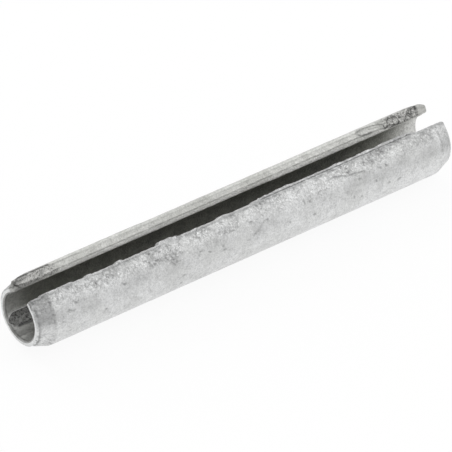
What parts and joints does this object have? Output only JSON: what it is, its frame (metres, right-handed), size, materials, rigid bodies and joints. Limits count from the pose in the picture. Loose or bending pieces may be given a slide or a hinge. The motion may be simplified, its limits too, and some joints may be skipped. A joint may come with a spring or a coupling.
{
  "type": "spring roll pin",
  "caption": "Slotted spring pin rolled from one galvanised steel strip, open along its whole length, with outside end chamfers.",
  "frame": {"origin": "on the pin's axis, half way along its length", "axes": "+X along the pin's axis, from the end with the longer chamfer to the end with the shorter one; +Z out through the middle of the slot, so the pin lies at rest with its slot up; Y across the slot"},
  "size_m": [0.06, 0.0086, 0.0082],
  "materials": {
    "galvanised_steel": "dull hot-dip galvanised zinc, slightly rough and mottled, with darker dross along the slot"
  },
  "bodies": {
    "root": {"spring_pin": "galvanised_steel"}
  },
  "joints": []
}
